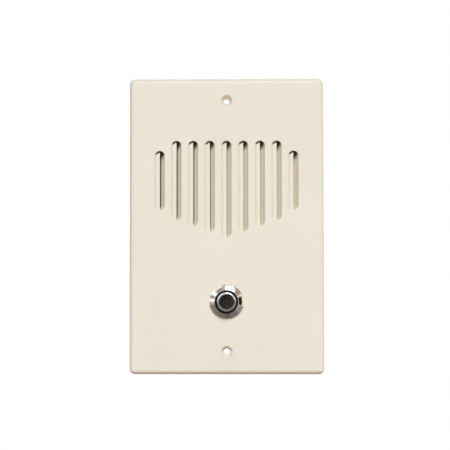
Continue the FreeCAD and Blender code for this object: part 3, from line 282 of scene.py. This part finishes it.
def painted_light_and_shade(tree, place):
    """Painted light and shade on the plate, each a colour and the bands that bound it. A band is a field, its
    value where the painted colour starts and its value where it is full. Lengths are in millimetres."""
    spot = add_node(tree, "ShaderNodeVectorMath", {"operation": "SCALE", "Scale": 1000.0},
                    {0: place}).outputs[0]
    side, depth, rise = add_node(tree, "ShaderNodeSeparateXYZ", None, {"Vector": spot}).outputs
    mirrored = add_node(tree, "ShaderNodeVectorMath", {"operation": "ABSOLUTE"}, {0: spot}).outputs[0]
    across, _, from_centre = add_node(tree, "ShaderNodeSeparateXYZ", None, {"Vector": mirrored}).outputs
    facing = add_node(tree, "ShaderNodeTexCoord").outputs["Normal"]
    _, backwards, upwards = add_node(tree, "ShaderNodeSeparateXYZ", None, {"Vector": facing}).outputs
    lowest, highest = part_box("faceplate")
    left, front, bottom = (length / MM for length in lowest)
    right, _, top = (length / MM for length in highest)

    # in each slot: down from its upper end, also along the slant of its painted shadow, right from its middle,
    # and out from the centre of the arc at its upper end
    is_outer = add_node(tree, "ShaderNodeMath", {"operation": "GREATER_THAN", 1: 3.5 * SLOT_PITCH},
                        {0: across}).outputs[0]
    slot_top = add_node(tree, "ShaderNodeMapRange", {"To Min": LONG_SLOT_TOP, "To Max": SHORT_SLOT_TOP},
                        {"Value": is_outer}).outputs[0]
    from_top = add_node(tree, "ShaderNodeMath", {"operation": "SUBTRACT"}, {0: slot_top, 1: rise}).outputs[0]
    from_slant = add_node(tree, "ShaderNodeMath", {"operation": "MULTIPLY_ADD", 1: -0.8},
                          {0: depth, 2: from_top}).outputs[0]
    from_middle = add_node(tree, "ShaderNodeMath",
                           {"operation": "WRAP", 1: -SLOT_PITCH / 2, 2: SLOT_PITCH / 2},
                           {0: side}).outputs[0]
    in_slot = add_node(tree, "ShaderNodeCombineXYZ", None, {"X": from_middle, "Z": from_top}).outputs[0]
    arc_centre = (0, 0, 2.2)
    from_arc = add_node(tree, "ShaderNodeVectorMath", {"operation": "DISTANCE", 1: arc_centre},
                        {0: in_slot}).outputs["Value"]

    # out from the axes of the two holes
    flat = add_node(tree, "ShaderNodeVectorMath", {"operation": "MULTIPLY", 1: (1, 0, 1)}, {0: mirrored})
    from_bore = add_node(tree, "ShaderNodeVectorMath", {"operation": "DISTANCE", 1: (0, 0, HOLE_REACH)},
                         {0: flat.outputs[0]}).outputs["Value"]

    in_front = add_node(tree, "ShaderNodeMath", {"operation": "LESS_THAN", 1: front + 2.95}, {0: depth})
    skin = (in_front.outputs[0], 0.0, 1.0)
    wall = (backwards, -0.97, -0.85)
    sunk = (depth, front + 0.1, front + 0.5)
    slot = (skin, (from_top, -0.6, -0.4), (across, 36, 35))
    high_slot = slot + ((rise, -22, -21),)
    countersink = (skin, wall, sunk, (across, 3.2, 3.1), (from_centre, 53, 54), (from_centre, 62, 61))
    return (
        # left, right, lower and upper edge: painted light on the two sides, most on the right, painted shade
        # on the lower edge and, more faintly, along the top edge where it holds down the highlight
        ("#F4EAD2", ((side, left + 2.0, left + 0.3),)),
        ("#F8F0DD", ((side, right - 2.0, right - 0.3),)),
        ("#C9B498", ((rise, bottom + 1.7, bottom + 0.4),)),
        ("#E5E0D2", ((rise, top - 2.1, top - 1.2),)),
        # painted light on the walls of the slots, and painted shade on the front of their right walls and on
        # the ledges on their left
        ("#F3E9D3", high_slot + (wall, sunk)),
        ("#E8DDC9", high_slot + (wall, sunk, (depth, front + 1.7, front + 1.4), (from_middle, 1.2, 1.4))),
        ("#DED7C5", high_slot + (sunk, (from_middle, -1.0, -2.0))),
        # painted shade on the upper half of the countersinks and painted light on their lower half, then
        # painted shade in the bores of the upper and the lower hole
        ("#E8DCBC", countersink + ((upwards, 0.05, -0.35),)),
        ("#EFEADC", countersink + ((upwards, 0.0, 0.3),)),
        ("#CFC7BC", (skin, wall, (from_bore, 2.0, 1.7), (rise, 50, 51), (rise, 57.7, 57.1))),
        ("#8E7C6F", (skin, wall, (from_bore, 2.1, 1.85), (rise, -56.7, -56.1), (rise, -51, -52))),
        # painted shade deep in the slits, darker towards the left slots, then painted shadow under the upper
        # ends of the slots, and its brown rim of painted shadow on the ledges
        ("#8A7656", high_slot + (wall, (depth, front + 2.2, front + 2.65), (side, 5, -25))),
        ("#42372A", slot + (wall, (from_slant, 7.6, 5.1), (depth, front + 0.3, front + 1.8))),
        ("#55382A", slot + (sunk, (from_top, 1.9, 1.2), (from_arc, 1.1, 1.5), (from_arc, 2.3, 2.1))))


def almond_abs():
    """Moulded ABS: a satin skin with faint cloudiness and a spark-eroded grain. The grain is drawn 0.7 mm
    wide, because the real one is too fine to show. Painted light and shade lie on its rounded edges: lighter
    on the sides, darker at the bottom and along the top. Painted light and shade also lie on the walls of the
    slots and holes, and painted shadow fills the upper ends of the slots."""
    parts = material, tree, shader, place = start_material("almond_moulded_abs", "#EAE4D6", 0.42, ior=1.53)
    grain = (0.7, 2.0)
    surface(parts, ((26.0, 1.0), "#E9E2D4", "#ECE6D9", 0.3, 0.7), (grain, 0.38, 0.5), (grain, 0.004))
    skin = shader.inputs["Base Color"].links[0].from_socket
    # painted light and shade laid over the skin colour
    for colour, bands in painted_light_and_shade(tree, place):
        shares = [add_node(tree, "ShaderNodeMapRange", {"From Min": start, "From Max": full},
                           {"Value": field}).outputs[0] for field, start, full in bands]
        share = shares[0]
        for other in shares[1:]:
            share = add_node(tree, "ShaderNodeMath", {"operation": "MULTIPLY"},
                             {0: share, 1: other}).outputs[0]
        skin = add_node(tree, "ShaderNodeMix", {"data_type": "RGBA", 7: linear(colour)},
                        {0: share, 6: skin}).outputs[2]
    tree.links.new(skin, shader.inputs["Base Color"])
    return material


def chrome_plate():
    """Polished chromium on brass: a bright mirror with faint buffing haze."""
    haze = (0.9, 3.0)
    return surface(start_material("polished_chrome_plate", "#C0BDB9", 0.07, 1.0),
                   ((2.2, 2.0), "#B5B2AE", "#C9C6C2"), (haze, 0.05, 0.16), (haze, 0.002))


def rim_chrome():
    """Polished chromium of the plunger's rim with a painted reflection: bright above the axis, darker below
    it.
    """
    parts = _, tree, _, place = start_material("chrome_rim_painted_reflection", "#C0BDB9", 0.07, 1.0)
    rise = add_node(tree, "ShaderNodeSeparateXYZ", None, {"Vector": place}).outputs["Z"]
    # painted reflection: share of the bright colour, none below the axis and full just above it
    clean = add_node(tree, "ShaderNodeMapRange",
                     {"From Min": (-BUTTON_DROP - 0.1) * MM, "From Max": (-BUTTON_DROP + 1.9) * MM},
                     {"Value": rise}).outputs[0]
    haze = (0.9, 3.0)
    return surface(parts, (clean, "#939291", "#F1ECE4", 0.0, 1.0), (haze, 0.05, 0.16), (haze, 0.002))


def woven_screen():
    """Woven black polyester: square threads that let sound through and hide what is behind. They are drawn
    0.5 mm apart, coarser than the real ones, so that they show."""
    parts = start_material("woven_black_screen", "#0C0C0D", 0.9)
    threads = weave(parts, 0.5)
    return surface(parts, (threads, "#050505", "#1A1A1B", 0.1, 0.8), relief=(threads, 0.08))


def black_nylon():
    """Moulded nylon, blue-black and faintly waxy."""
    parts = _, _, shader, _ = start_material("blue_black_nylon", "#060A3C", 0.4, ior=1.53)
    shader.inputs["Specular IOR Level"].default_value = 0.12
    cloud = (1.2, 2.0)
    return surface(parts, (cloud, "#04062A", "#090D42"), (cloud, 0.28, 0.45), (cloud, 0.006))


def button_black():
    """Moulded black ABS with an eroded matt texture and a painted sheen that makes it greyer towards its lower
    right. Its grain is drawn 0.7 mm wide, coarser than the real one, so that it shows."""
    parts = _, tree, shader, place = start_material("textured_black_abs", "#19191A", 0.55, ior=1.53)
    shader.inputs["Specular IOR Level"].default_value = 0.1
    grain = add_node(tree, "ShaderNodeTexNoise", {"Scale": 1000.0 / 0.7, "Detail": 4.0},
                     {"Vector": place}).outputs["Fac"]
    side, _, rise = add_node(tree, "ShaderNodeSeparateXYZ", None, {"Vector": place}).outputs
    slope = add_node(tree, "ShaderNodeMath", {"operation": "SUBTRACT"}, {0: side, 1: rise}).outputs[0]
    # painted sheen: greyer towards the lower right, added to the grain
    painted_sheen = add_node(tree, "ShaderNodeMapRange",
                      {"From Min": (BUTTON_DROP - 4.1) * MM, "From Max": (BUTTON_DROP + 3.9) * MM,
                       "To Min": -0.44, "To Max": 0.19}, {"Value": slope}).outputs[0]
    grain_and_sheen = add_node(tree, "ShaderNodeMath", {"operation": "MULTIPLY_ADD", 1: 1.25},
                    {0: grain, 2: painted_sheen}).outputs[0]
    return surface(parts, (grain_and_sheen, "#070709", "#31302F", 0.0, 1.0), (grain, 0.45, 0.7), (grain, 0.03))


def zinc_plate():
    """Bright zinc on pressed steel: soft blue-grey sheen with cloudy spangle."""
    spangle = (5.0, 4.0)
    return surface(start_material("bright_zinc_plated_steel", "#B9BCBD", 0.32, 1.0),
                   (spangle, "#A2A6A8", "#C9CBC8"), ((1.5, 3.0), 0.24, 0.46), (spangle, 0.01))


def spring_wire():
    """Drawn spring steel: a dull grey wire with fine clouding from its drawing."""
    cloud = (0.5, 3.0)
    return surface(start_material("drawn_spring_steel", "#8E9092", 0.28, 1.0),
                   (cloud, "#7C7E80", "#A2A4A4"), (cloud, 0.2, 0.4))


def rolled_brass():
    """Rolled brass sheet with light tarnish in patches."""
    tarnish = (3.0, 4.0)
    return surface(start_material("rolled_brass", "#C9A75B", 0.3, 1.0),
                   (tarnish, "#A98744", "#D4B469"), (tarnish, 0.42, 0.24), ((0.6, 2.0), 0.004))


def tinned_solder():
    """Lead-tin solder: bright silver-grey that has frozen slightly dull."""
    frost = (0.6, 3.0)
    return surface(start_material("tinned_solder", "#B5B6B8", 0.25, 1.0),
                   (frost, "#9A9B9D", "#C6C7C8"), (frost, 0.18, 0.4))


def copper_wire():
    """Enamelled or bare copper, with the turns of wire showing as fine rings. They are drawn 0.35 mm apart,
    coarser than the real wire, so that they show."""
    parts = _, tree, _, place = start_material("copper_wire", "#B8714A", 0.34, 1.0)
    turns = add_node(tree, "ShaderNodeTexWave",
                     {"wave_type": "BANDS", "bands_direction": "Y", "Scale": wave_scale(0.35)},
                     {"Vector": place}).outputs["Fac"]
    return surface(parts, (turns, "#8E4F30", "#C98259", 0.1, 0.9), relief=(turns, 0.05))


def srbp_board():
    """Paper-phenolic laminate: brown, satin, with darker paper fibres."""
    fibres = (0.8, 5.0)
    return surface(start_material("paper_phenolic_board", "#7A4A28", 0.45),
                   (fibres, "#5E3619", "#8A5830"), (fibres, 0.38, 0.55), (fibres, 0.01))


def phenolic_moulding():
    """Compression-moulded black phenolic: glossy, with a faint wood-flour fleck."""
    fleck = (0.6, 5.0)
    return surface(start_material("black_moulded_phenolic", "#161412", 0.25, ior=1.6),
                   (fleck, "#0F0D0C", "#2A241E", 0.45, 0.75), (fleck, 0.2, 0.36), ((2.0, 2.0), 0.01))


def ground_ferrite():
    """Sintered ferrite: charcoal grey, ground faces with fine pits."""
    pits = (0.5, 6.0)
    return surface(start_material("ground_ferrite", "#3A3B3D", 0.5, 0.15),
                   (pits, "#2C2D2F", "#4A4B4C"), (pits, 0.42, 0.65), (pits, 0.02))


def pressed_paper():
    """Pressed cone paper: matt dark grey felted fibres, with rings from the mould every 2 mm."""
    parts = _, tree, _, place = start_material("pressed_cone_paper", "#2B2825", 0.95)
    fibres = add_node(tree, "ShaderNodeTexNoise", {"Scale": 1000.0 / 0.7, "Detail": 6.0},
                      {"Vector": place}).outputs["Fac"]
    centred = add_node(tree, "ShaderNodeMapping",
                       {"Location": (0, 0, -SPEAKER_RISE * MM), "Scale": (1, 0, 1)},
                       {"Vector": place}).outputs[0]
    rings = add_node(tree, "ShaderNodeTexWave",
                     {"wave_type": "RINGS", "rings_direction": "Y", "Scale": wave_scale(2.0)},
                     {"Vector": centred}).outputs["Fac"]
    felt = add_node(tree, "ShaderNodeMath", {"operation": "MULTIPLY_ADD", 1: 0.3},
                    {0: fibres, 2: rings}).outputs[0]
    return surface(parts, (fibres, "#211F1D", "#3A3632"), relief=(felt, 0.12))


def kraft_former():
    """Kraft paper tube of the coil, varnished brown."""
    fibres = (0.6, 5.0)
    return surface(start_material("varnished_kraft_paper", "#8C6638", 0.5),
                   (fibres, "#77542B", "#A37A47"), relief=(fibres, 0.01))


def dipped_cloth():
    """Resin-dipped cotton of the centring disc: amber, with an open weave of 0.6 mm."""
    parts = start_material("resin_dipped_cotton", "#A57C2E", 0.6)
    threads = weave(parts, 0.6)
    return surface(parts, (threads, "#7A5818", "#BC9243", 0.05, 0.7), relief=(threads, 0.1))


def foam_rubber():
    """Closed-cell foam: dull black with fine open cells of 0.6 mm on its cut faces."""
    parts = _, tree, _, place = start_material("closed_cell_foam", "#1D1D1E", 0.9)
    cells = add_node(tree, "ShaderNodeTexVoronoi", {"Scale": 1000.0 / 0.6},
                     {"Vector": place}).outputs["Distance"]
    return surface(parts, (cells, "#121213", "#2B2B2C", 0.1, 0.7), relief=(cells, 0.08))


def soft_rubber():
    """Thin rubber of the cone's edge: matt, almost black."""
    bloom = (3.0, 3.0)
    return surface(start_material("thin_black_rubber", "#161617", 0.75),
                   (bloom, "#101011", "#222223"), (bloom, 0.65, 0.85), ((0.6, 2.0), 0.01))


def pvc_insulation(name, dull, bright):
    """Extruded PVC insulation: smooth and slightly glossy, a little uneven in colour."""
    cloud = (2.5, 2.0)
    return surface(start_material(name, bright, 0.35, ior=1.54),
                   (cloud, dull, bright), (cloud, 0.28, 0.42), ((0.5, 2.0), 0.004))


finishes = {
    "almond": almond_abs(),
    "chrome": chrome_plate(),
    "rim_chrome": rim_chrome(),
    "screen": woven_screen(),
    "nylon": black_nylon(),
    "black_abs": button_black(),
    "zinc": zinc_plate(),
    "spring": spring_wire(),
    "brass": rolled_brass(),
    "solder": tinned_solder(),
    "copper": copper_wire(),
    "srbp": srbp_board(),
    "phenolic": phenolic_moulding(),
    "ferrite": ground_ferrite(),
    "paper": pressed_paper(),
    "kraft": kraft_former(),
    "dipped_cloth": dipped_cloth(),
    "foam": foam_rubber(),
    "rubber": soft_rubber(),
    "red_pvc": pvc_insulation("red_pvc_insulation", "#7E140F", "#9A1B14"),
    "black_pvc": pvc_insulation("black_pvc_insulation", "#121212", "#1E1E1F"),
    "white_pvc": pvc_insulation("white_pvc_insulation", "#CFCBBF", "#DEDBD1"),
}
finish_of = {
    "faceplate": "almond", "dust_screen": "screen", "speaker_gasket": "foam", "speaker_basket": "zinc",
    "cone_surround": "rubber", "speaker_cone": "paper", "dust_cap": "paper", "voice_coil_former": "kraft",
    "voice_coil_winding": "copper", "spider": "dipped_cloth", "magnet_top_plate": "zinc",
    "ferrite_magnet": "ferrite", "magnet_yoke": "zinc", "speaker_clamps": "zinc", "clamp_screws": "zinc",
    "lug_board": "srbp", "lug_board_rivet": "brass", "speaker_lugs": "brass", "button_bezel": "chrome",
    "guide_sleeve": "nylon", "button_ring": "rim_chrome", "button_insert": "black_abs",
    "contact_bridge": "brass", "switch_base": "srbp", "left_contact": "brass", "right_contact": "brass",
    "lock_washer": "zinc", "panel_nut": "zinc", "return_spring": "spring", "terminal_strip": "phenolic",
    "terminal_plates": "brass", "terminal_screws": "zinc", "strip_screws": "zinc",
    "left_tinsel_lead": "copper", "right_tinsel_lead": "copper", "left_speaker_lead": "red_pvc",
    "right_speaker_lead": "black_pvc", "right_button_lead": "white_pvc", "left_button_lead": "white_pvc",
}
for node_name, finish in finish_of.items():
    for material_slot in nodes[node_name].material_slots:
        material_slot.material = finishes[finish]


# ---------------------------------------------------------------- fasteners, spring and solder

def select_only(piece):
    """Nothing selected but one piece, which is also the active one."""
    bpy.ops.object.select_all(action="DESELECT")
    piece.select_set(True)
    bpy.context.view_layer.objects.active = piece


def start_edit(piece):
    """Edit mode on one piece alone, with all of its mesh selected."""
    select_only(piece)
    bpy.ops.object.mode_set(mode="EDIT")
    bpy.ops.mesh.select_all(action="SELECT")


def end_edit(piece, name, smooth_angle=40):
    """Back to object mode with clean normals, the mesh in its place and the object at the origin."""
    bpy.ops.mesh.select_all(action="SELECT")
    bpy.ops.mesh.remove_doubles(threshold=0.001 * MM)
    bpy.ops.mesh.normals_make_consistent(inside=False)
    bpy.ops.object.mode_set(mode="OBJECT")
    bpy.ops.object.transform_apply(location=True, rotation=True, scale=True)
    bpy.ops.object.shade_smooth_by_angle(angle=math.radians(smooth_angle))
    piece.name = name
    piece.data.name = name


def turned(name, outline, steps):
    """Body turned about the Y axis from (radius, depth) points in millimetres."""
    bpy.ops.object.select_all(action="DESELECT")
    bpy.ops.mesh.primitive_plane_add(size=MM)
    piece = bpy.context.object
    start_edit(piece)
    bpy.ops.mesh.merge(type="CENTER")
    bpy.ops.transform.translate(value=(outline[0][0] * MM, outline[0][1] * MM, 0))
    for (radius, depth), (next_radius, next_depth) in zip(outline, outline[1:]):
        bpy.ops.mesh.extrude_region_move(TRANSFORM_OT_translate={
            "value": ((next_radius - radius) * MM, (next_depth - depth) * MM, 0)})
    bpy.ops.mesh.select_all(action="SELECT")
    bpy.ops.mesh.spin(steps=steps, angle=math.tau, center=(0, 0, 0), axis=(0, 1, 0))
    end_edit(piece, name)
    return piece


def carve(piece, tool, operation):
    """Cut a piece with a tool shape, or keep what they share, and take the tool away."""
    cut = piece.modifiers.new("cut", "BOOLEAN")
    cut.operation = operation
    cut.solver = "EXACT"
    cut.object = tool
    bpy.context.view_layer.objects.active = piece
    bpy.ops.object.modifier_apply(modifier=cut.name)
    bpy.data.objects.remove(tool)


def slotted_screw(name, shank, head, slot):
    """Round-head screw along Y, seated at depth 0. Its shank is (radius, length), its head (radius, height)
    and its slot (width, depth)."""
    shank_radius, length = shank
    radius, height = head
    slot_width, slot_depth = slot
    rim_share = 0.35        # height of the head's rim, where the crown starts
    crown = []
    for angle in range(0, 90, 15):
        turn = math.radians(angle)
        crown.append((radius * math.cos(turn), height * (rim_share + (1 - rim_share) * math.sin(turn))))
    outline = [(0, -length), (0.55 * shank_radius, -length), (shank_radius, 0.6 - length),
               (shank_radius, 0), (0.96 * radius, 0), (radius, 0.06), *crown, (0, height)]
    screw = turned(name, outline, 48)
    bpy.ops.object.select_all(action="DESELECT")
    bpy.ops.mesh.primitive_cube_add(size=MM, location=(0, height * MM, 0),
                                    scale=(3 * radius, 2 * slot_depth, slot_width))
    carve(screw, bpy.context.object, "DIFFERENCE")
    start_edit(screw)
    end_edit(screw, name, 35)
    return screw


def wound(name, sides, section_radius, coil_radius, front, pitches, steps, turn=0.0):
    """Bar wound round the button's axis from its front backwards: one section, extruded a step of a turn at a
    time, with a pitch for each turn."""
    bpy.ops.object.select_all(action="DESELECT")
    bpy.ops.mesh.primitive_circle_add(vertices=sides, radius=section_radius * MM, fill_type="NGON")
    piece = bpy.context.object
    start_edit(piece)
    bpy.ops.transform.rotate(value=turn, orient_axis="Z", center_override=(0, 0, 0))
    bpy.ops.transform.translate(value=(coil_radius * MM, front * MM, -BUTTON_DROP * MM))
    for pitch in pitches:
        for _ in range(steps):
            bpy.ops.mesh.extrude_region_move(TRANSFORM_OT_translate={"value": (0, pitch / steps * MM, 0)})
            bpy.ops.transform.rotate(value=math.tau / steps, orient_axis="Y",
                                     center_override=(0, 0, -BUTTON_DROP * MM))
    end_edit(piece, name, 50)
    return piece


def dress(piece, body, finish):
    """Give a new piece its finish and the body that it rides on."""
    piece.data.materials.append(finishes[finish])
    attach(piece, body)


def copies(master, stem, spots, finish, replaced=None):
    """Copies of a master piece at (x, y, z) spots in millimetres, each turned a little differently."""
    for number, spot in enumerate(spots, 1):
        select_only(master)
        bpy.ops.object.duplicate(linked=False)
        piece = bpy.context.object
        start_edit(piece)
        bpy.ops.transform.rotate(value=math.radians(37 * number % 180), orient_axis="Y",
                                 center_override=(0, 0, 0))
        bpy.ops.transform.translate(value=Vector(spot) * MM)
        end_edit(piece, f"{stem}_{number}", 35)
        dress(piece, "station", finish)
        if replaced:
            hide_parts(replaced)
    bpy.data.objects.remove(master)


terminal_rises = [-STRIP_DROP + 7.0 * place for place in (1.5, 0.5, -0.5, -1.5)]
clamp_reach = 27.58         # clamp screws, beside and above the speaker's axis
small_head, narrow_slot = (2.5, 1.6), (0.7, 0.7)
copies(slotted_screw("small_screw", (1.0, 5.5), small_head, narrow_slot), "clamp_screw",
       [(side * clamp_reach, 2.3, SPEAKER_RISE + end * clamp_reach)
        for side, end in ((1, 1), (-1, 1), (-1, -1), (1, -1))], "zinc", "clamp_screws")
copies(slotted_screw("binding_screw", (1.5, 4.0), (2.5, 1.8), narrow_slot), "terminal_screw",
       [(STRIP_SIDE, 6.8, rise) for rise in terminal_rises], "zinc", "terminal_screws")
copies(slotted_screw("fixing_screw", (1.0, 6.0), small_head, narrow_slot), "strip_screw",
       [(STRIP_SIDE, 6.0, -STRIP_DROP + end * 17.0) for end in (1, -1)], "zinc", "strip_screws")

chamfered_nut = turned("chamfered_nut",
                       [(6.7, -2.1), (7.8, -2.1), (9.4, -1.6), (9.4, 0.4), (7.8, 0.9), (6.7, 0.9),
                        (6.3, 0.5), (6.3, -1.7), (6.7, -2.1)], 72)
half_flats, half_corner = 8.0, math.pi / 6
bpy.ops.object.select_all(action="DESELECT")
bpy.ops.mesh.primitive_cylinder_add(vertices=6, radius=half_flats / math.cos(half_corner) * MM, depth=8 * MM,
                                    rotation=(math.pi / 2, half_corner, 0))
carve(chamfered_nut, bpy.context.object, "INTERSECT")
start_edit(chamfered_nut)
bpy.ops.transform.translate(value=(0, 0, -BUTTON_DROP * MM))
end_edit(chamfered_nut, "chamfered_nut", 30)
dress(chamfered_nut, "station", "zinc")
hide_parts("panel_nut")

bushing_thread = wound("bushing_thread", sides=3, section_radius=0.42, coil_radius=6.22, front=1.3,
                       pitches=[0.8] * 11, steps=32, turn=-math.pi / 2)
dress(bushing_thread, "station", "chrome")

coil_spring = wound("coil_spring", sides=10, section_radius=0.25, coil_radius=4.15, front=0.86,
                    pitches=[0.5, 1.8, 1.8, 1.78, 0.5], steps=24)
dress(coil_spring, "station", "spring")
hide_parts("return_spring")
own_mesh(coil_spring)

# solder: cones on the terminals, drops round the contacts' tails, and low cones on the speaker's lugs
for name, stem, outline, spots in (
        ("solder_bead", "terminal_solder",
         [(0, -0.02), (1.25, -0.02), (1.2, 0.06), (0.9, 0.25), (0.68, 0.55), (0.5, 0.85), (0.28, 1.02),
          (0, 1.06)],
         [(21.0, 6.8, rise) for rise in terminal_rises]),
        ("solder_drop", "contact_solder",
         [(0, -0.95), (0.45, -0.85), (0.85, -0.5), (0.98, 0), (0.85, 0.5), (0.45, 0.95), (0, 1.05)],
         [(side * 2.3, 13.65, -BUTTON_DROP - 0.55) for side in (1, -1)]),
        ("lug_bead", "lug_solder",
         [(0, -0.02), (1.0, -0.02), (0.95, 0.08), (0.72, 0.3), (0.55, 0.6), (0.3, 0.82), (0, 0.88)],
         [(side * 6.5, 12.6, SPEAKER_RISE - 27.0) for side in (1, -1)])):
    copies(turned(name, outline, 20), stem, spots, "solder")

bpy.context.scene.view_settings.view_transform = "Standard"
